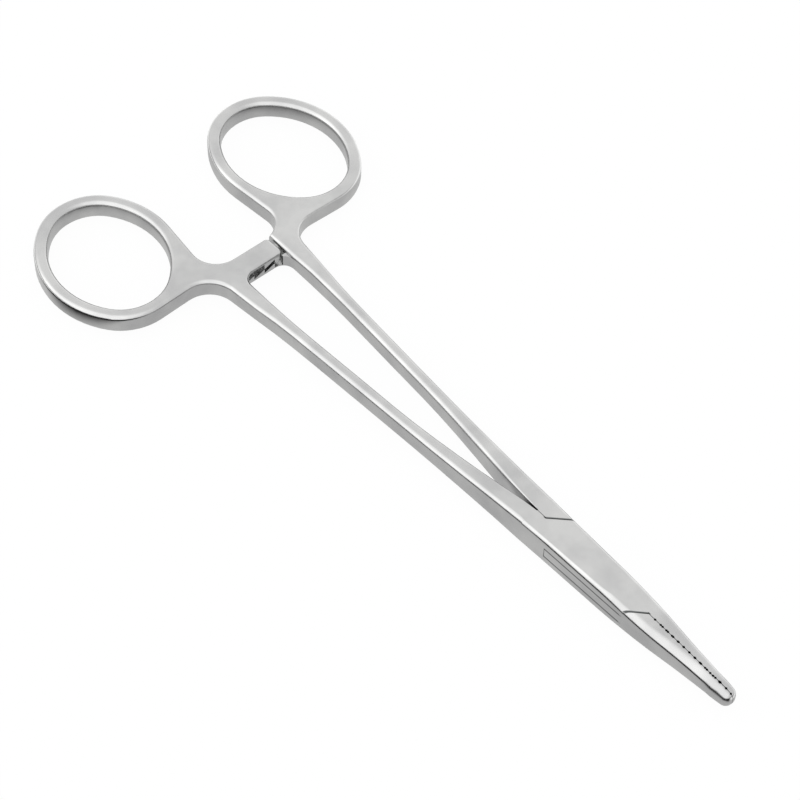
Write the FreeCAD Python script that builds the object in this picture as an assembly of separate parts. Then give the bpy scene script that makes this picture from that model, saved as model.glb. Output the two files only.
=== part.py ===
import FreeCAD, Part
import math
import os

# Needle holder with a box lock, millimetres.
# X runs forward to the jaw tips, Y to the ring of the male half, Z up.
# The origin is on the pivot axis, at the underside of the lock.

os.makedirs("parts", exist_ok=True)

# Lock and jaws
tip_reach = 31.3            # pivot axis to the jaw tips
step_reach = 12.0           # pivot axis to each lock step, measured on the centre line
step_angle = 45.0           # lean of the steps and of the slot's end walls, degrees
lock_rear_width = 6.9       # closed pair across the lock's rear
lock_front_width = 5.7      # closed pair across the lock's front
jaw_middle_width = 4.0      # closed pair across the middle of the jaws
tip_width = 2.7             # closed pair just behind the tips
lock_thickness = 5.8
jaw_middle_thickness = 4.4
tip_thickness = 3.1
lock_pad_reach = 3.5        # how far the flat faces of the lock run ahead of the pivot
lock_grind = 0.12           # taken off the two faces of the lock together, to make them flat
lock_lead = 2.0             # behind the rear steps, where the shanks run into the lock
lock_edge = 0.9             # rounding of the lock's long edges
lock_edge_front = 1.04      # how far it reaches in where the flat faces end
step_thickness = 5.22       # at the front steps
jaw_crown_width = 1.5       # how far the rounding of a jaw reaches in from its side
jaw_crown_drop = 1.1        # how far the same rounding drops
tip_round = 1.15            # rounding of the jaw ends
tip_edge = 1.13             # how far the rounding reaches in just behind the tips
tip_turns = (0, 30, 55, 76)  # sections of the rounded jaw ends, degrees
tip_end_width = 0.8         # rounding of those sections, share of the half width
tip_end_drop = 0.7          # share of the half thickness

# Neck of the male half in the slot of the female half
neck_thickness = 1.9
neck_tail = 3.0             # how far the neck runs on inside the shank and the jaw
slot_clearance = 0.08       # above and below the neck
wall_clearance = 0.10       # between the halves at the steps, at the slot's ends and on the centre line
step_groove_width = 0.4     # eased edges of a lock step, across both halves
step_groove_depth = 0.22

# Pivot pin
pin_diameter = 2.4
pin_clearance = 0.03        # radial, between the pin and the neck's bore

# Cross serration of the jaws
serration_pitch = 1.25      # along the jaw, between grooves that lean the same way
serration_depth = 0.18
serration_width = 0.42      # of one groove at the jaw's face
serration_angle = 50.0      # lean of the grooves from the jaw's length, degrees
serration_start = 13.2      # ahead of the pivot
serration_end_margin = 1.3  # smooth length behind the tips

# Shanks, measured on one half
shank_lead = 4.9            # straight stretch ahead of the arms' root fillets
shank_root_width = 3.05
shank_neck_width = 2.45     # a tenth of the way to the crotch
shank_waist_width = 2.3     # from there to the middle
shank_shoulder = 1.03       # how far the outer edge still stands outside the lock, at 0.73 of the way
shank_end_shoulder = 0.35   # the same at 0.92 of the way
shank_gap = 4.75            # centre line to the inner edge, beside the ratchet
shank_edge = 0.8            # rounding of the long edges
handle_thickness = 3.85     # rings, webs, ratchet arms and the rear of the shanks
crotch_edge = 0.12          # rounding of the inner edges where the shanks meet
# Inner edge: how far along the shank, and what share is left of the gap
shank_inner_places = (
    (0.0, 1.0), (0.1, 0.97), (0.3, 0.81), (0.52, 0.63), (0.72, 0.36), (0.84, 0.17), (0.93, 0.055))
# Swell towards the lock: how far along the shank, and what share of the extra thickness is reached
shank_swell_places = ((-0.1, 0.0), (0.55, 0.0), (0.7, 0.2), (0.85, 0.6))

# Finger rings
ring_spread = 20.0          # centre line to the middle of a ring
ring_hole_length = 25.8
ring_hole_width = 20.4
ring_wire = 2.45            # width of the ring's section
ring_turn = 7.2             # the long axis opens outward to the front, degrees
web_back_slope = 6.0        # tangent to the ring, against X, degrees
web_front_slope = 88.0      # tangent to the ring, against X, degrees
web_length = 18.9           # along X, from the arms' front edges to the middle of a ring
web_back_fillet = 4.8
web_front_fillet = 5.2

# Ratchet
arm_setback = 84.7          # pivot axis to the arms' front edges
arm_width = 4.4             # along X
arm_reach = 4.3             # centre line to an arm's free end
arm_root_fillet = 2.2
arm_end_round = 1.0
root_rib_reach = 0.9        # how far the root fillet stands on beside the other arm's end
tooth_pitch = 2.33
tooth_depth = 0.95
tooth_clearance = 0.03      # tooth tips to the middle plane
arm_relief = 1.2            # middle plane to the arm's thin stretch beside the teeth
male_teeth = 3
female_teeth = 2

# Every rounding is drawn as a few flats in equal steps of angle
round_flats = 3
shank_sections = 9
pair_sections = 11

half_thickness = lock_thickness / 2
half_handle = handle_thickness / 2
half_gap = wall_clearance / 2
tall = lock_thickness * 2   # reach of a cut through the whole thickness
wide = lock_rear_width      # reach of a cut through the whole width
ring_setback = arm_setback + web_length
arm_front = -arm_setback
arm_rear = arm_front - arm_width
shank_root = arm_front + arm_root_fillet + shank_lead
shank_front = -step_reach - lock_lead
jaw_middle = (step_reach + tip_reach) / 2
jaw_reach = tip_reach - tip_round


def vec(x, y, z=0.0):
    return FreeCAD.Vector(x, y, z)


def smooth_value(x, stations):
    """A smooth curve through stations of (place, value), straight beyond both ends."""
    count = len(stations)
    secants = []
    for k in range(count - 1):
        rise = stations[k + 1][1] - stations[k][1]
        secants.append(rise / (stations[k + 1][0] - stations[k][0]))
    slopes = [secants[0]]
    for k in range(1, count - 1):
        before, after = secants[k - 1], secants[k]
        flat = before * after <= 0
        slopes.append(0.0 if flat else 2 * before * after / (before + after))
    slopes.append(secants[-1])
    if x <= stations[0][0]:
        return stations[0][1] + slopes[0] * (x - stations[0][0])
    if x >= stations[-1][0]:
        return stations[-1][1] + slopes[-1] * (x - stations[-1][0])
    k = max(i for i in range(count - 1) if stations[i][0] <= x)
    span = stations[k + 1][0] - stations[k][0]
    t = (x - stations[k][0]) / span
    rise = (3 - 2 * t) * t * t
    bulge = slopes[k] * t * (1 - t) ** 2 - slopes[k + 1] * t * t * (1 - t)
    return stations[k][1] * (1 - rise) + stations[k + 1][1] * rise + bulge * span


def along_shank(share):
    """A place along X, from 0 at the shank's root to 1 at the crotch."""
    return shank_root + share * (-step_reach - shank_root)


def inner_edge(x):
    """Centre line to a shank's inner edge."""
    stations = [(along_shank(share), shank_gap * left) for share, left in shank_inner_places]
    return smooth_value(x, stations + [(-step_reach, half_gap)])


def outer_edge(x):
    """Centre line to the outer edge, from the shank's root to the tips."""
    return smooth_value(x, (
        (along_shank(0.0), shank_gap + shank_root_width),
        (along_shank(0.1), inner_edge(along_shank(0.1)) + shank_neck_width),
        (along_shank(0.3), inner_edge(along_shank(0.3)) + shank_waist_width),
        (along_shank(0.52), inner_edge(along_shank(0.52)) + shank_waist_width),
        (along_shank(0.73), lock_rear_width / 2 + shank_shoulder),
        (along_shank(0.92), lock_rear_width / 2 + shank_end_shoulder),
        (-step_reach * 0.7, lock_rear_width / 2),
        (step_reach, lock_front_width / 2),
        (jaw_middle, jaw_middle_width / 2),
        (tip_reach, tip_width / 2)))


def thickness(x):
    """Whole thickness, from the shank's root to the tips."""
    swell = lock_thickness - handle_thickness
    stations = [(along_shank(share), handle_thickness + swell * part) for share, part in shank_swell_places]
    return smooth_value(x, stations + [
        (-step_reach * 1.15, lock_thickness + lock_grind),
        (lock_pad_reach, lock_thickness + lock_grind),
        (step_reach, step_thickness),
        (jaw_middle, jaw_middle_thickness),
        (tip_reach, tip_thickness)])


def root_slope():
    """Lean of the outer edge against X where the shank leaves the handle, degrees."""
    step = 0.1
    return math.degrees(math.atan((outer_edge(shank_root + step) - outer_edge(shank_root)) / step))


def edge_width(x):
    """How far the rounding of an outer edge reaches in from the side, seen along X."""
    root_width = shank_edge / math.cos(math.radians(root_slope()))
    return smooth_value(x, (
        (along_shank(0.0), root_width), (along_shank(0.8), shank_edge),
        (-step_reach, lock_edge), (lock_pad_reach, lock_edge_front),
        (jaw_middle, jaw_crown_width), (tip_reach, tip_edge)))


def edge_drop(x):
    """How far the rounding of an outer edge drops."""
    return smooth_value(x, (
        (along_shank(0.0), shank_edge), (along_shank(0.8), shank_edge),
        (-step_reach, lock_edge), (lock_pad_reach, lock_edge),
        (jaw_middle, jaw_crown_drop), (tip_reach, jaw_crown_drop)))


def rounding():
    """Steps of a quarter rounding from its foot to its top, as shares of its width and of its drop."""
    turns = [math.radians(90 * k / round_flats) for k in range(round_flats + 1)]
    return [(1 - math.cos(turn), 1 - math.sin(turn)) for turn in turns]


def section(x, low, high, half, low_round, high_round):
    """A rounded oblong across X. Each rounding is (width, drop)."""
    right = [(high - high_round[0] * a, half - high_round[1] * b) for a, b in rounding()]
    left = [(low + low_round[0] * a, half - low_round[1] * b) for a, b in rounding()]
    upper = right + left[::-1]
    lower = [(y, -z) for y, z in upper[::-1]]
    points = [vec(x, y, z) for y, z in upper + lower]
    return Part.makePolygon(points + points[:1])


def prism(points, bottom, top):
    """An upright solid on a plan outline of straight sides."""
    corners = [vec(x, y, bottom) for x, y in points]
    wire = Part.makePolygon(corners + corners[:1])
    return Part.Face(wire).extrude(vec(0, 0, top - bottom))


def rounded_path(corners):
    """Edges of an open plan outline through (x, y, radius) corners, with an arc at each radius above 0."""
    legs = []
    for k, (x, y, radius) in enumerate(corners):
        here = vec(x, y)
        if radius <= 0:
            legs.append((here, None, here))
            continue
        before = (vec(corners[k - 1][0], corners[k - 1][1]) - here).normalize()
        after = (vec(corners[k + 1][0], corners[k + 1][1]) - here).normalize()
        half_turn = before.getAngle(after) / 2
        reach = radius / math.tan(half_turn)
        bisector = (before + after).normalize()
        middle = here + bisector * (radius / math.sin(half_turn) - radius)
        legs.append((here + before * reach, middle, here + after * reach))
    edges = []
    for k, (start, middle, end) in enumerate(legs):
        if middle is not None:
            edges.append(Part.Arc(start, middle, end).toShape())
        if k + 1 < len(legs):
            edges.append(Part.makeLine(end, legs[k + 1][0]))
    return edges


def ring_point(offset, normal):
    """The point of the +Y ring's oval where the outline faces the given way, degrees against the long axis.

    The oval is four arcs that meet at 45 degrees, and a wider one shares their centres.
    """
    a, b = ring_hole_length / 2, ring_hole_width / 2
    diagonal = math.cos(math.pi / 4)
    spread = (a - b) / (2 * diagonal - 1)
    end_radius = b - spread * (1 - diagonal)
    angle = math.radians(normal)
    along, across = math.cos(angle), math.sin(angle)
    if abs(along) >= diagonal - 1e-9:
        x = (a - end_radius) * math.copysign(1, along) + (end_radius + offset) * along
        y = (end_radius + offset) * across
    else:
        side_radius = end_radius + spread
        x = (side_radius + offset) * along
        y = (b - side_radius) * math.copysign(1, across) + (side_radius + offset) * across
    turn = math.radians(ring_turn)
    return vec(x * math.cos(turn) - y * math.sin(turn) - ring_setback,
               x * math.sin(turn) + y * math.cos(turn) + ring_spread)


def ring_arcs(offset, start, stop):
    """Arcs of the oval between two facing angles, counterclockwise."""
    joins = [join for join in (45, 135, 225, 315) if start < join < stop]
    bounds = [start] + joins + [stop]
    arcs = []
    for low, high in zip(bounds, bounds[1:]):
        ends = ring_point(offset, low), ring_point(offset, high)
        arcs.append(Part.Arc(ends[0], ring_point(offset, (low + high) / 2), ends[1]).toShape())
    return arcs


def crossing(point_a, slope_a, point_b, slope_b):
    """Where two plan lines cross. Slopes in degrees against X."""
    ta, tb = math.tan(math.radians(slope_a)), math.tan(math.radians(slope_b))
    x = (point_b[1] - point_a[1] + ta * point_a[0] - tb * point_b[0]) / (ta - tb)
    return x, point_a[1] + ta * (x - point_a[0])


def handle_outline(inset):
    """Plan outline of a handle with its arm, on the +Y side, drawn in all round by the inset."""
    back_facing = web_back_slope - ring_turn - 90
    front_facing = web_front_slope - ring_turn - 90
    back = ring_point(ring_wire - inset, back_facing)
    front = ring_point(ring_wire - inset, front_facing)
    rear = arm_rear + inset
    gap = shank_gap + inset
    back_y = back.y + math.tan(math.radians(web_back_slope)) * (rear - back.x)
    beyond = shank_root + shank_edge
    lean_out = math.tan(math.radians(root_slope()))
    outer_y = outer_edge(shank_root) - inset * math.hypot(1, lean_out) + lean_out * shank_edge
    front_corner = crossing((front.x, front.y), web_front_slope, (beyond, outer_y), root_slope())
    corners = [
        (back.x, back.y, 0),
        (rear, back_y, web_back_fillet + inset),
        (rear, -arm_reach + inset, arm_end_round - inset),
        (arm_front - inset, -arm_reach + inset, arm_end_round - inset),
        (arm_front - inset, gap, arm_root_fillet + inset),
        (beyond, gap, 0),
        (beyond, outer_y, 0),
        (front_corner[0], front_corner[1], web_front_fillet + inset),
        (front.x, front.y, 0)]
    return rounded_path(corners) + ring_arcs(ring_wire - inset, front_facing, back_facing + 360)


def side_outline(inset):
    """Plan outline of all the room on a shank's side of its inner edge, which alone is drawn in."""
    edge = shank_gap + inset
    far = 2 * ring_setback
    corners = [vec(-far, edge), vec(far, edge), vec(far, far), vec(-far, far)]
    return Part.makePolygon(corners + corners[:1]).Edges


def hole_outline(outset):
    """Plan outline of the finger hole, drawn out all round by the outset."""
    return ring_arcs(outset, 45, 225) + ring_arcs(outset, 225, 405)


def eased_plate(outline):
    """A plate on the middle plane, as thick as half a handle, whose upper rim is rounded.

    The outline is a function of how far the rounding has drawn it in.
    """
    plate = Part.Face(Part.Wire(outline(0.0))).extrude(vec(0, 0, half_handle - shank_edge))
    wires = []
    for reach, drop in rounding():
        wire = Part.Wire(outline(shank_edge * reach))
        wire.translate(vec(0, 0, half_handle - shank_edge * drop))
        wires.append(wire)
    return plate.fuse(Part.makeLoft(wires, True, True))


def handle_slab():
    """Upper half of a handle with its arm, on the +Y side, from the ring to the shank's root."""
    slab = eased_plate(handle_outline).cut(eased_plate(hole_outline))
    beyond = Part.makeBox(tall, 2 * tall, tall, vec(shank_root, -tall, -half_gap))
    return slab.cut(beyond)


def root_rib():
    """What the ratchet's milling leaves of the root fillet in front of the other arm's end."""
    radius = arm_root_fillet
    low = shank_gap - root_rib_reach
    height = half_handle - shank_edge + arm_relief
    corner = vec(arm_front + wall_clearance, low, -arm_relief)
    block = Part.makeBox(radius, root_rib_reach + shank_edge, height, corner)
    centre = vec(arm_front + radius, shank_gap - radius, -tall)
    return block.cut(Part.makeCylinder(radius, 2 * tall, centre))


def tooth_space(teeth, has_end_tooth):
    """What is cut from the upper face of the +Y half's lower arm, as a profile along X."""
    tip = -tooth_clearance
    root = -tooth_clearance - tooth_depth
    first = tooth_pitch if has_end_tooth else 0.0
    profile = [(shank_gap, half_handle), (shank_gap, -arm_relief), (first, -arm_relief)]
    for k in range(teeth):
        y = first - k * tooth_pitch
        profile.append((y, tip))
        profile.append((y - tooth_pitch, root))
    profile.append((-arm_reach - arm_end_round, root))
    profile.append((-arm_reach - arm_end_round, half_handle))
    rear = arm_rear - arm_width
    corners = [vec(rear, y, z) for y, z in profile]
    wire = Part.makePolygon(corners + corners[:1])
    return Part.Face(wire).extrude(vec(shank_root - shank_edge - rear, 0, 0))


def handle(teeth, has_end_tooth):
    """Ring, web and shank root on the +Y side with a lower ratchet arm."""
    slab = handle_slab()
    plain = slab.common(eased_plate(side_outline))
    armed = slab.mirror(vec(0, 0, 0), vec(0, 0, 1)).cut(tooth_space(teeth, has_end_tooth))
    return plain.fuse([armed, root_rib()])


def shank():
    """Shank on the +Y side, from its root to the lock."""
    wires = []
    for k in range(-1, shank_sections + 2):
        x = shank_root + (shank_front - shank_root) * k / shank_sections
        inner_round = smooth_value(x, (
            (along_shank(0.0), shank_edge), (along_shank(0.7), shank_edge),
            (shank_front, crotch_edge)))
        inner_round = max(inner_round, crotch_edge / 2)
        outer_round = (edge_width(x), edge_drop(x))
        half = thickness(x) / 2
        inner = inner_edge(x)
        wires.append(section(x, inner, outer_edge(x), half, (inner_round, inner_round), outer_round))
    return between(Part.makeLoft(wires, True, False), shank_root, shank_front)


def between(shape, start, end):
    """The stretch of a shape between two planes across X, ground down to the lock's thickness."""
    box = Part.makeBox(end - start, 8 * wide, lock_thickness, vec(start, -4 * wide, -half_thickness))
    return shape.common(box)


def closed_pair():
    """Outer form that both halves share from the lock's rear to the tips."""
    wires = []
    start = 1.5 * shank_front
    for k in range(pair_sections):
        x = start + (jaw_reach - start) * k / pair_sections
        edge = (edge_width(x), edge_drop(x))
        wires.append(section(x, -outer_edge(x), outer_edge(x), thickness(x) / 2, edge, edge))
    for turn in tip_turns:
        angle = math.radians(turn)
        x = jaw_reach + tip_round * math.sin(angle)
        shrink = tip_round * (1 - math.cos(angle))
        side = outer_edge(x) - shrink
        half = thickness(x) / 2 - shrink
        edge = (side * tip_end_width, half * tip_end_drop)
        wires.append(section(x, -side, side, half, edge, edge))
    return between(Part.makeLoft(wires, True, False), shank_front, tip_reach)


def lean(y):
    """Shift along X of a step or slot wall at the distance y from the centre line."""
    return y / math.tan(math.radians(step_angle))


def male_rear_plan(gap):
    """Plan of the full-height male stretch behind the rear step."""
    return [(-step_reach - wide, -gap), (-step_reach - gap, -gap),
            (-step_reach + lean(wide), wide), (-step_reach - wide, wide)]


def jaw_plan(gap):
    """Plan of the full-height male jaw ahead of the front step."""
    ahead = tip_reach + wide
    return [(step_reach + gap, gap), (ahead, gap), (ahead, -wide), (step_reach - lean(wide), -wide)]


def slot():
    """Room through the female half for the neck."""
    plan = [(-step_reach, 0), (-step_reach + lean(wide), -wide), (step_reach - lean(wide), -wide),
            (step_reach, 0), (step_reach - lean(wide), wide), (-step_reach + lean(wide), wide)]
    half = neck_thickness / 2 + slot_clearance
    return prism(plan, -half, half)


def neck():
    """Thin stretch of the male half between its steps, run on into the shank and the jaw."""
    gap = wall_clearance
    run = step_reach + neck_tail
    plan = [(-run, half_gap), (-step_reach + gap - half_gap, half_gap),
            (-step_reach + gap + lean(wide), -wide), (run, -wide),
            (run, -half_gap), (step_reach - gap + half_gap, -half_gap),
            (step_reach - gap - lean(wide), wide), (-run, wide)]
    return prism(plan, -neck_thickness / 2, neck_thickness / 2)


def step_grooves():
    """Eased edges along both lock steps, on the upper and the lower face."""
    grooves = []
    reach = 0.6 * lock_rear_width
    for side in (-1, 1):
        start_x = side * step_reach
        end_x = start_x - side * lean(reach)
        for face in (-1, 1):
            start = vec(start_x, 0, face * min(thickness(start_x) / 2, half_thickness))
            end = vec(end_x, -side * reach, face * min(thickness(end_x) / 2, half_thickness))
            along = end - start
            across = vec(along.y, -along.x).normalize() * step_groove_width
            depth = vec(0, 0, face * step_groove_depth)
            profile = [start + across + depth, start - across + depth, start - depth]
            wire = Part.makePolygon(profile + profile[:1])
            grooves.append(Part.Face(wire).extrude(along))
    return grooves


def serration(side):
    """Crossing grooves in the jaw face whose metal lies on the given side of Y."""
    face = side * half_gap
    depth = side * serration_depth
    end = tip_reach - serration_end_margin
    count = int((end - serration_start) / serration_pitch)
    reach = lock_thickness
    grooves = []
    for sign in (1, -1):
        angle = math.radians(sign * serration_angle)
        along = vec(math.cos(angle), 0, math.sin(angle))
        across = vec(-math.sin(angle), 0, math.cos(angle))
        half_width = serration_width / 2
        for k in range(count + 1):
            middle = vec(serration_start + k * serration_pitch, face, 0)
            start = middle - along * reach
            profile = [start - across * half_width, start + vec(0, depth, 0),
                       start + across * half_width, start - vec(0, depth, 0)]
            wire = Part.makePolygon(profile + profile[:1])
            grooves.append(Part.Face(wire).extrude(along * (2 * reach)))
    grid = grooves[0].fuse(grooves[1:])
    span = end - serration_start + 2 * serration_pitch
    limit = Part.makeBox(span, 2 * wide, 2 * tall, vec(serration_start - serration_pitch / 2, -wide, -tall))
    return grid.common(limit)


def bore(diameter):
    """Room for the pin."""
    return Part.makeCylinder(diameter / 2, 2 * tall, vec(0, 0, -tall))


def male_half(pair):
    """Ring and shank on +Y, neck, jaw on -Y, lower ratchet arm."""
    regions = prism(male_rear_plan(-half_gap), -tall, tall)
    regions = regions.fuse(prism(jaw_plan(-half_gap), -tall, tall)).fuse(neck())
    front = pair.common(regions).cut(step_grooves())
    front = front.cut(bore(pin_diameter + 2 * pin_clearance)).cut(serration(-1))
    rear = handle(male_teeth, True).fuse(shank())
    return rear.fuse(front)


def female_half(pair):
    """Ring and shank on -Y, lock with its slot, jaw on +Y, upper ratchet arm."""
    front = pair.cut(prism(male_rear_plan(half_gap), -tall, tall))
    front = front.cut(prism(jaw_plan(half_gap), -tall, tall)).cut(slot()).cut(step_grooves())
    front = front.cut(bore(pin_diameter)).cut(serration(1))
    rear = handle(female_teeth, False).fuse(shank())
    rear.rotate(vec(0, 0), vec(1, 0, 0), 180)
    return rear.fuse(front)


def pivot_pin(pair):
    """Pin through both cheeks and the neck, ground flush with the lock."""
    return pair.common(bore(pin_diameter))


def save(name, shape):
    """One sub-part, set with the underside of the lock at zero height."""
    placed = shape.copy()
    placed.translate(vec(0, 0, half_thickness))
    placed.exportStep("parts/%s.step" % name)


pair = closed_pair()
save("female_half", female_half(pair))
save("male_half", male_half(pair))
save("pivot_pin", pivot_pin(pair))
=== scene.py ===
import math

import bpy
from mathutils import Matrix, Vector


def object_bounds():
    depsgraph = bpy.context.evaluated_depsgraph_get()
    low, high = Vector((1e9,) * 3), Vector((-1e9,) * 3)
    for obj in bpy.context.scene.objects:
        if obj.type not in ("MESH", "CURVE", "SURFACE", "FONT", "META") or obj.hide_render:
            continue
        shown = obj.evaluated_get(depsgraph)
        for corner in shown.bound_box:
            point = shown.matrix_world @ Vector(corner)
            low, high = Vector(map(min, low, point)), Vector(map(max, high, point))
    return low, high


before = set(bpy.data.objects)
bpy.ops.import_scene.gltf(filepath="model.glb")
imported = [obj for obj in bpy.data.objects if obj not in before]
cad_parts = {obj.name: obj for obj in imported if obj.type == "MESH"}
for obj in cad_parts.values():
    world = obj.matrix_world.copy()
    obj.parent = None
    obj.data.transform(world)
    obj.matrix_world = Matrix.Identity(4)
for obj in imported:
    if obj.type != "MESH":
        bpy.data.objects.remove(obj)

# A box-lock needle holder, closed and latched, lying on its side on a white table.

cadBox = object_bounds()
midPlane = (cadBox[0][2] + cadBox[1][2]) / 2  # height at which the halves mirror each other and the jaws meet
mm = 0.001  # one millimetre, in scene units
print("frame loaded")


def toLinear(hexColour):
    channels = [int(hexColour[k:k + 2], 16) / 255 for k in (1, 3, 5)]
    linear = [c / 12.92 if c <= 0.04045 else ((c + 0.055) / 1.055) ** 2.4 for c in channels]
    return (*linear, 1.0)


def addNode(tree, kind, settings=(), inputs=(), links=()):
    node = tree.nodes.new(kind)
    for name, value in dict(settings).items():
        setattr(node, name, value)
    for name, value in dict(inputs).items():
        node.inputs[name].default_value = value
    for name, source in dict(links).items():
        tree.links.new(source, node.inputs[name])
    return node


def mathNode(tree, operation, first, second):
    node = tree.nodes.new("ShaderNodeMath")
    node.operation = operation
    for socket, value in zip(node.inputs, (first, second)):
        if isinstance(value, (int, float)):
            socket.default_value = value
        else:
            tree.links.new(value, socket)
    return node.outputs[0]


def unitWay(headingDeg, upDeg):
    # A direction, from its heading off +X towards +Y and its rise above level
    heading, up = math.radians(headingDeg), math.radians(upDeg)
    return Vector((math.cos(up) * math.cos(heading), math.cos(up) * math.sin(heading), math.sin(up)))


# Camera

camera = {
    "targetMm": (-47.30, -0.80, 2.90),
    "headingDeg": 137.09,      # way it looks, from +X towards +Y
    "downDeg": 52.14,
    "rollDeg": 2.41,
    "distanceMm": 444.7,
    "lensMm": 117.56,
    "sensorMm": 36.0,
    "clipMm": 10.0,
}


def addCamera(values):
    heading = math.radians(values["headingDeg"])
    roll = math.radians(values["rollDeg"])
    forward = unitWay(values["headingDeg"], -values["downDeg"])
    level = Vector((math.sin(heading), -math.cos(heading), 0))
    upright = level.cross(forward)
    right = level * math.cos(roll) + upright * math.sin(roll)
    up = upright * math.cos(roll) - level * math.sin(roll)
    data = bpy.data.cameras.new("camera")
    data.sensor_width = values["sensorMm"]
    data.lens = values["lensMm"]
    data.clip_start = values["clipMm"] * mm
    obj = bpy.data.objects.new("camera", data)
    place = Vector(values["targetMm"]) * mm - forward * values["distanceMm"] * mm
    turn = Matrix((right, up, -forward)).transposed().to_4x4()
    obj.matrix_world = Matrix.Translation(place) @ turn
    bpy.context.scene.collection.objects.link(obj)
    bpy.context.scene.camera = obj


addCamera(camera)
print("camera placed")


# Steel

satinSteel = {
    "colour": "#D6D6D5",
    # grey of the painted shade in crevices and along the slot's edges and the lock steps
    "paintedShadeColour": "#545656",
    "smudgeColour": "#C4C4C4",
    "creviceMm": 0.8,       # how near another surface has to be to darken a spot
    "creviceFrom": 0.35,    # open share of the view from a spot where it is darkest
    "creviceTo": 0.80,      # and where it is unshaded again
    "roughness": 0.19,
    "roughnessSpread": 0.05,
    "roughFrom": 0.3,       # noise values at which the spread is used up, both ways
    "roughTo": 0.7,
    "grainMm": 0.35,        # coarser than a real polishing grain, so that it shows
    "grainDepthMm": 0.0015,
    "smudgeMm": 9.0,
    "smudgeFrom": 0.38,     # noise values between which the steel goes from clean to smudged
    "smudgeTo": 0.66,
    "slotEdgeMm": 1.0,      # middle plane to the slot's edges in the lock's sides, where a line of painted shade runs
    "slotLineMm": 0.26,     # half width of that line
    "slotReachMm": 8.4,     # the slot's half length there
    "uprightFrom": 0.5,     # share of a surface's normal along Z above which it has no such line
    "stepReachMm": 12.0,    # pivot to the lock steps on the centre line, where they start to lean back
    "stepLineMm": 0.26,     # half width of the painted shade along them
    "stepCore": 0.4,        # share of that which is darkest
    "stepFromMm": 2.5,      # height off the middle plane above which it shows
}


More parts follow.
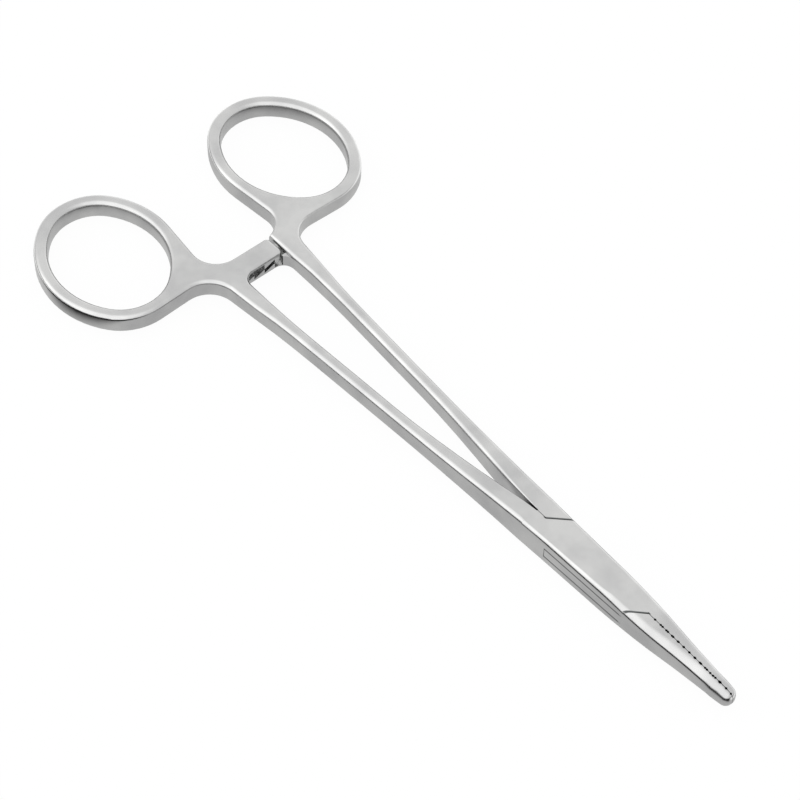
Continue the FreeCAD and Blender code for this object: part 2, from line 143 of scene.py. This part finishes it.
def makeSatinSteel(values):
    # Stainless steel, belt ground and then satin polished: soft reflections with a faint uneven grain,
    # and a painted shade, a dull grey, in crevices and along the lock's slot and steps. In a Mix node of
    # colours, sockets 6 and 7 are its two colours and output 2 is their mix
    material = bpy.data.materials.new("satinPolishedStainless")
    material.use_nodes = True
    tree = material.node_tree
    tree.nodes.clear()
    place = addNode(tree, "ShaderNodeTexCoord")
    smudge = addNode(tree, "ShaderNodeTexNoise",
                     inputs={"Scale": 1 / (values["smudgeMm"] * mm), "Detail": 3.0, "Roughness": 0.55},
                     links={"Vector": place.outputs["Object"]})
    grain = addNode(tree, "ShaderNodeTexNoise",
                    inputs={"Scale": 1 / (values["grainMm"] * mm), "Detail": 4.0, "Roughness": 0.6},
                    links={"Vector": place.outputs["Object"]})
    low = values["roughness"] - values["roughnessSpread"]
    high = values["roughness"] + values["roughnessSpread"]
    rough = addNode(tree, "ShaderNodeMapRange",
                    inputs={"From Min": values["roughFrom"], "From Max": values["roughTo"],
                            "To Min": low, "To Max": high},
                    links={"Value": smudge.outputs["Fac"]})
    cloud = addNode(tree, "ShaderNodeMapRange",
                    inputs={"From Min": values["smudgeFrom"], "From Max": values["smudgeTo"]},
                    links={"Value": smudge.outputs["Fac"]})
    polished = addNode(tree, "ShaderNodeMix", settings={"data_type": "RGBA"},
                       inputs={6: toLinear(values["colour"]), 7: toLinear(values["smudgeColour"])},
                       links={0: cloud.outputs["Result"]})
    # Painted shade: darker where ambient occlusion finds another surface close, in crevices and gaps
    around = addNode(tree, "ShaderNodeAmbientOcclusion", settings={"samples": 16},
                     inputs={"Distance": values["creviceMm"] * mm})
    openToLight = addNode(tree, "ShaderNodeMapRange",
                      inputs={"From Min": values["creviceFrom"], "From Max": values["creviceTo"]},
                      links={"Value": around.outputs["AO"]})

    # Painted shade along the slot's edges, on the upright sides only, not on the neck's flats
    spot = addNode(tree, "ShaderNodeSeparateXYZ", links={0: place.outputs["Object"]})
    fromPivot = mathNode(tree, "ABSOLUTE", spot.outputs["X"], 0)
    height = mathNode(tree, "ABSOLUTE", mathNode(tree, "SUBTRACT", spot.outputs["Z"], midPlane), 0)
    offLine = mathNode(tree, "ABSOLUTE", mathNode(tree, "SUBTRACT", height, values["slotEdgeMm"] * mm), 0)
    offEnd = mathNode(tree, "SUBTRACT", fromPivot, values["slotReachMm"] * mm)
    facing = addNode(tree, "ShaderNodeSeparateXYZ", links={0: place.outputs["Normal"]})
    flatness = mathNode(tree, "SUBTRACT", mathNode(tree, "ABSOLUTE", facing.outputs["Z"], 0),
                        values["uprightFrom"])
    offSide = mathNode(tree, "MULTIPLY", flatness, mm)  # a whole millimetre takes a flat well off the line
    slotLine = addNode(tree, "ShaderNodeMapRange", settings={"interpolation_type": "SMOOTHSTEP"},
                       inputs={"From Min": 0.0, "From Max": values["slotLineMm"] * mm},
                       links={"Value": mathNode(tree, "MAXIMUM", mathNode(tree, "MAXIMUM", offLine, offEnd),
                                                offSide)})

    # And painted shade along the lock steps in the top and bottom faces, which lean back at 45 degrees
    # from the centre line, the front one towards -Y and the back one towards +Y
    outward = mathNode(tree, "MULTIPLY", mathNode(tree, "SIGN", spot.outputs["X"], 0), spot.outputs["Y"])
    along = mathNode(tree, "SUBTRACT", values["stepReachMm"] * mm, fromPivot)
    offStep = mathNode(tree, "MULTIPLY", mathNode(tree, "ABSOLUTE", mathNode(tree, "ADD", along, outward), 0),
                       math.sqrt(0.5))
    offFace = mathNode(tree, "SUBTRACT", values["stepFromMm"] * mm, height)
    halfLine = values["stepLineMm"] * mm
    stepLine = addNode(tree, "ShaderNodeMapRange", settings={"interpolation_type": "SMOOTHSTEP"},
                       inputs={"From Min": values["stepCore"] * halfLine, "From Max": halfLine},
                       links={"Value": mathNode(tree, "MAXIMUM", mathNode(tree, "MAXIMUM", offStep, outward),
                                                offFace)})
    # The painted shade's grey goes in wherever a crevice, a slot edge or a lock step calls for it
    offLines = mathNode(tree, "MINIMUM", slotLine.outputs["Result"], stepLine.outputs["Result"])
    unshadedShare = mathNode(tree, "MINIMUM", openToLight.outputs["Result"], offLines)
    colour = addNode(tree, "ShaderNodeMix", settings={"data_type": "RGBA"},
                     inputs={6: toLinear(values["paintedShadeColour"])},
                     links={0: unshadedShare, 7: polished.outputs[2]})
    relief = addNode(tree, "ShaderNodeBump",
                     inputs={"Strength": 1.0, "Distance": values["grainDepthMm"] * mm},
                     links={"Height": grain.outputs["Fac"]})
    surface = addNode(tree, "ShaderNodeBsdfPrincipled", inputs={"Metallic": 1.0},
                      links={"Base Color": colour.outputs[2], "Roughness": rough.outputs["Result"],
                             "Normal": relief.outputs["Normal"]})
    addNode(tree, "ShaderNodeOutputMaterial", links={"Surface": surface.outputs["BSDF"]})
    return material


steel = makeSatinSteel(satinSteel)
print("steel made")


# Forged halves and pin

forging = {
    "creaseDeg": 36.0,      # a sharper edge than this stays crisp
    "weldMm": 0.0005,
    "flatWeight": 100,      # how far large faces rule the shading of their edges, 50 is not at all
    "tipFullMm": (26.2, 28.4, 30.2),   # where the filling of the jaw ends starts, is full and ends along X
    "tipFullShare": 0.165,             # of the width and thickness, at its fullest
}


def makeSmoothing(values):
    # Joins the faces' own vertices, fills out the waist behind the jaw ends, then shades smooth
    # over every edge flatter than the crease
    group = bpy.data.node_groups.new("polishedSurface", "GeometryNodeTree")
    group.interface.new_socket("Geometry", in_out="INPUT", socket_type="NodeSocketGeometry")
    group.interface.new_socket("Geometry", in_out="OUTPUT", socket_type="NodeSocketGeometry")
    bare = addNode(group, "NodeGroupInput")
    weld = addNode(group, "GeometryNodeMergeByDistance",
                   inputs={"Distance": values["weldMm"] * mm},
                   links={"Geometry": bare.outputs[0]})
    place = addNode(group, "GeometryNodeInputPosition")
    parts = addNode(group, "ShaderNodeSeparateXYZ", links={0: place.outputs[0]})
    start, full, end = values["tipFullMm"]
    rise = addNode(group, "ShaderNodeMapRange", settings={"interpolation_type": "SMOOTHSTEP"},
                   inputs={"From Min": start * mm, "From Max": full * mm},
                   links={"Value": parts.outputs["X"]})
    fall = addNode(group, "ShaderNodeMapRange", settings={"interpolation_type": "SMOOTHSTEP"},
                   inputs={"From Min": end * mm, "From Max": full * mm},
                   links={"Value": parts.outputs["X"]})
    share = mathNode(group, "MULTIPLY", mathNode(group, "MINIMUM", rise.outputs[0], fall.outputs[0]),
                     values["tipFullShare"])
    height = mathNode(group, "SUBTRACT", parts.outputs["Z"], midPlane)
    shift = addNode(group, "ShaderNodeCombineXYZ",
                    links={"Y": mathNode(group, "MULTIPLY", parts.outputs["Y"], share),
                           "Z": mathNode(group, "MULTIPLY", height, share)})
    filled = addNode(group, "GeometryNodeSetPosition",
                     links={"Geometry": weld.outputs[0], "Offset": shift.outputs[0]})
    faces = addNode(group, "GeometryNodeSetShadeSmooth", settings={"domain": "FACE"},
                    inputs={"Shade Smooth": True}, links={"Geometry": filled.outputs[0]})
    angle = addNode(group, "GeometryNodeInputMeshEdgeAngle")
    crease = addNode(group, "FunctionNodeCompare", settings={"operation": "LESS_THAN"},
                     inputs={"B": math.radians(values["creaseDeg"])},
                     links={"A": angle.outputs["Unsigned Angle"]})
    edges = addNode(group, "GeometryNodeSetShadeSmooth", settings={"domain": "EDGE"},
                    links={"Geometry": faces.outputs[0], "Shade Smooth": crease.outputs["Result"]})
    addNode(group, "NodeGroupOutput", links={0: edges.outputs[0]})
    return group


def dress(nodeName, values, material, surfaceGroup):
    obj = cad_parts[nodeName]
    for slot in obj.material_slots:
        slot.material = material
    obj.modifiers.new("polish", "NODES").node_group = surfaceGroup
    flats = obj.modifiers.new("flats", "WEIGHTED_NORMAL")
    flats.keep_sharp = True
    flats.weight = values["flatWeight"]


smoothing = makeSmoothing(forging)
for pieceName in ("female_half", "male_half", "pivot_pin"):
    dress(pieceName, forging, steel, smoothing)
print("halves and pin dressed")


# Table and light

table = {
    "widthMm": 3000.0,
    "colour": "#F2F2F2",
    "seenShare": 0.96,      # of plain white that the camera sees, the rest is the lit card with its shadow
    "poolBright": 0.64,     # painted glow that the steel sees of the card close to it
    "frontDim": 0.03,       # painted dim outside the pool of light, on the camera's side
    "backBright": 1.25,     # and painted bright on the far side, as if the back of the tent lit it
    "sideMm": 2.0,          # half width of the change from one side to the other
    "poolFromMm": 1.5,      # distances from the object's plan where the pool ends
    "poolToMm": 7.0,
    "openingMidMm": (-103.6, 20.0),    # middle and half axes of the finger rings' openings
    "openingHalfMm": (12.9, 10.2),
    "openingDim": 0.08,     # painted dark in the middle of an opening, which the rings' inner walls mirror
    "openingFrom": 0.30,    # shares of the half axes between which it turns to the pool
    "openingTo": 0.90,
    "ringEndMm": (-119.0, 34.0),   # place along X and half width of the object's plan there
    "tipEndMm": (31.0, 3.0),
}


def addTable(values):
    half = values["widthMm"] * mm / 2
    low = cadBox[0][2]
    mesh = bpy.data.meshes.new("table")
    mesh.from_pydata([(-half, -half, low), (half, -half, low), (half, half, low), (-half, half, low)],
                     [], [(0, 1, 2, 3)])
    obj = bpy.data.objects.new("table", mesh)
    bpy.context.scene.collection.objects.link(obj)

    # Matt white card in a light tent: plain white to the eye, but for the object's faint shadow, and a
    # painted pool of light that only the steel's reflections see
    material = bpy.data.materials.new("whiteCard")
    material.use_nodes = True
    tree = material.node_tree
    tree.nodes.clear()

    # Distance from a wedge that the object just fills, from the rings to the tips
    place = addNode(tree, "ShaderNodeNewGeometry")
    parts = addNode(tree, "ShaderNodeSeparateXYZ", links={0: place.outputs["Position"]})
    (ringX, ringHalf), (tipX, tipHalf) = values["ringEndMm"], values["tipEndMm"]
    side = addNode(tree, "ShaderNodeMapRange", settings={"clamp": False},
                   inputs={"From Min": ringX * mm, "From Max": tipX * mm,
                           "To Min": ringHalf * mm, "To Max": tipHalf * mm},
                   links={"Value": parts.outputs["X"]})
    fromMiddle = mathNode(tree, "ABSOLUTE", parts.outputs["Y"], 0)
    pastRings = mathNode(tree, "SUBTRACT", ringX * mm, parts.outputs["X"])
    outY = mathNode(tree, "SUBTRACT", fromMiddle, side.outputs["Result"])
    outX = mathNode(tree, "MAXIMUM", mathNode(tree, "SUBTRACT", parts.outputs["X"], tipX * mm), pastRings)
    behind = mathNode(tree, "MAXIMUM", parts.outputs["Y"], pastRings)
    far = addNode(tree, "ShaderNodeMapRange",
                  inputs={"From Min": -values["sideMm"] * mm, "From Max": values["sideMm"] * mm,
                          "To Min": values["frontDim"], "To Max": values["backBright"]},
                  links={"Value": behind})

    # Distance from the middle of a ring's opening, as a share of the opening
    (midX, midY), (halfX, halfY) = values["openingMidMm"], values["openingHalfMm"]
    alongX = mathNode(tree, "DIVIDE", mathNode(tree, "SUBTRACT", parts.outputs["X"], midX * mm), halfX * mm)
    alongY = mathNode(tree, "DIVIDE", mathNode(tree, "SUBTRACT", fromMiddle, midY * mm), halfY * mm)
    offMiddle = mathNode(tree, "SQRT", mathNode(tree, "ADD", mathNode(tree, "MULTIPLY", alongX, alongX),
                                                mathNode(tree, "MULTIPLY", alongY, alongY)), 0)
    near = addNode(tree, "ShaderNodeMapRange", settings={"interpolation_type": "SMOOTHSTEP"},
                   inputs={"From Min": values["openingFrom"], "From Max": values["openingTo"],
                           "To Min": values["openingDim"], "To Max": values["poolBright"]},
                   links={"Value": offMiddle})
    pool = addNode(tree, "ShaderNodeMapRange", settings={"interpolation_type": "SMOOTHSTEP"},
                   inputs={"From Min": values["poolFromMm"] * mm, "From Max": values["poolToMm"] * mm},
                   links={"Value": mathNode(tree, "MAXIMUM", outY, outX), "To Min": near.outputs["Result"],
                          "To Max": far.outputs["Result"]})

    # The camera sees a nearly plain white, the steel sees the painted pool of light that the card gives off,
    # and the rest is lit card
    ray = addNode(tree, "ShaderNodeLightPath")
    seen = mathNode(tree, "MAXIMUM", ray.outputs["Is Camera Ray"], ray.outputs["Is Transmission Ray"])
    card = addNode(tree, "ShaderNodeBsdfDiffuse", inputs={"Color": toLinear(values["colour"])})
    white = addNode(tree, "ShaderNodeEmission", inputs={"Strength": 1.0})
    glow = addNode(tree, "ShaderNodeEmission", links={"Strength": pool.outputs["Result"]})
    plain = addNode(tree, "ShaderNodeMixShader",
                    links={0: mathNode(tree, "MULTIPLY", seen, values["seenShare"]),
                           1: card.outputs[0], 2: white.outputs[0]})
    both = addNode(tree, "ShaderNodeMixShader",
                   links={0: ray.outputs["Is Glossy Ray"], 1: plain.outputs[0], 2: glow.outputs[0]})
    addNode(tree, "ShaderNodeOutputMaterial", links={"Surface": both.outputs[0]})
    mesh.materials.append(material)


studio = {
    "even": 1.17,           # brightness of the tent all around, which the flat tops mirror
    "bright": 1.75,         # and where the window lights it, which the rims on the camera's side mirror
    "windowHeadingDeg": 272.0,
    "windowUpDeg": 44.0,
    "windowInner": 0.80,    # cosines of the angle from its middle where it is full and where it ends
    "windowOuter": 0.30,
    "frontHorizon": 0.05,
    "backHorizon": 1.40,
    "backHeadingDeg": 120.0,
    "backFrom": 0.0,        # cosines of the angle off it between which the horizon brightens
    "backTo": 0.8,
    "horizonFrom": 0.03,    # height shares of the view sphere between which the horizon fades out
    "horizonTo": 0.28,
    "lamps": {
        "leftBox": {"headingDeg": 226, "upDeg": 36, "distanceMm": 900, "sizeMm": (620, 560), "level": 0.2},
        "backBox": {"headingDeg": 122, "upDeg": 17, "distanceMm": 1000, "sizeMm": (900, 300), "level": 0.1},
    },
}


def addStudio(values):
    world = bpy.data.worlds.new("studio")
    bpy.context.scene.world = world
    world.use_nodes = True
    tree = world.node_tree
    tree.nodes.clear()
    ray = addNode(tree, "ShaderNodeTexCoord").outputs["Generated"]
    parts = addNode(tree, "ShaderNodeSeparateXYZ", links={0: ray})
    toBack = addNode(tree, "ShaderNodeVectorMath", settings={"operation": "DOT_PRODUCT"},
                     inputs={1: unitWay(values["backHeadingDeg"], 0)}, links={0: ray})
    toWindow = addNode(tree, "ShaderNodeVectorMath", settings={"operation": "DOT_PRODUCT"},
                       inputs={1: unitWay(values["windowHeadingDeg"], values["windowUpDeg"])},
                       links={0: ray})
    horizon = addNode(tree, "ShaderNodeMapRange", settings={"interpolation_type": "SMOOTHSTEP"},
                      inputs={"From Min": values["backFrom"], "From Max": values["backTo"],
                              "To Min": values["frontHorizon"], "To Max": values["backHorizon"]},
                      links={"Value": toBack.outputs["Value"]})
    tent = addNode(tree, "ShaderNodeMapRange", settings={"interpolation_type": "SMOOTHSTEP"},
                   inputs={"From Min": values["windowOuter"], "From Max": values["windowInner"],
                           "To Min": values["even"], "To Max": values["bright"]},
                   links={"Value": toWindow.outputs["Value"]})
    level = addNode(tree, "ShaderNodeMapRange", settings={"interpolation_type": "SMOOTHSTEP"},
                    inputs={"From Min": values["horizonFrom"], "From Max": values["horizonTo"]},
                    links={"Value": parts.outputs["Z"], "To Min": horizon.outputs["Result"],
                           "To Max": tent.outputs["Result"]})
    sky = addNode(tree, "ShaderNodeBackground", links={"Strength": level.outputs["Result"]})
    addNode(tree, "ShaderNodeOutputWorld", links={"Surface": sky.outputs[0]})
    target = Vector(camera["targetMm"]) * mm
    for name, lamp in values["lamps"].items():
        way = unitWay(lamp["headingDeg"], lamp["upDeg"])
        data = bpy.data.lights.new(name, "AREA")
        data.shape = "RECTANGLE"
        data.size, data.size_y = lamp["sizeMm"][0] * mm, lamp["sizeMm"][1] * mm
        data.energy = lamp["level"] * math.pi * data.size * data.size_y  # level is the brightness of its face
        obj = bpy.data.objects.new(name, data)
        obj.location = target + way * lamp["distanceMm"] * mm
        obj.rotation_euler = (-way).to_track_quat("-Z", "Y").to_euler()
        bpy.context.scene.collection.objects.link(obj)


addTable(table)
addStudio(studio)
bpy.context.scene.view_settings.view_transform = "Standard"
print("table and lamps placed")
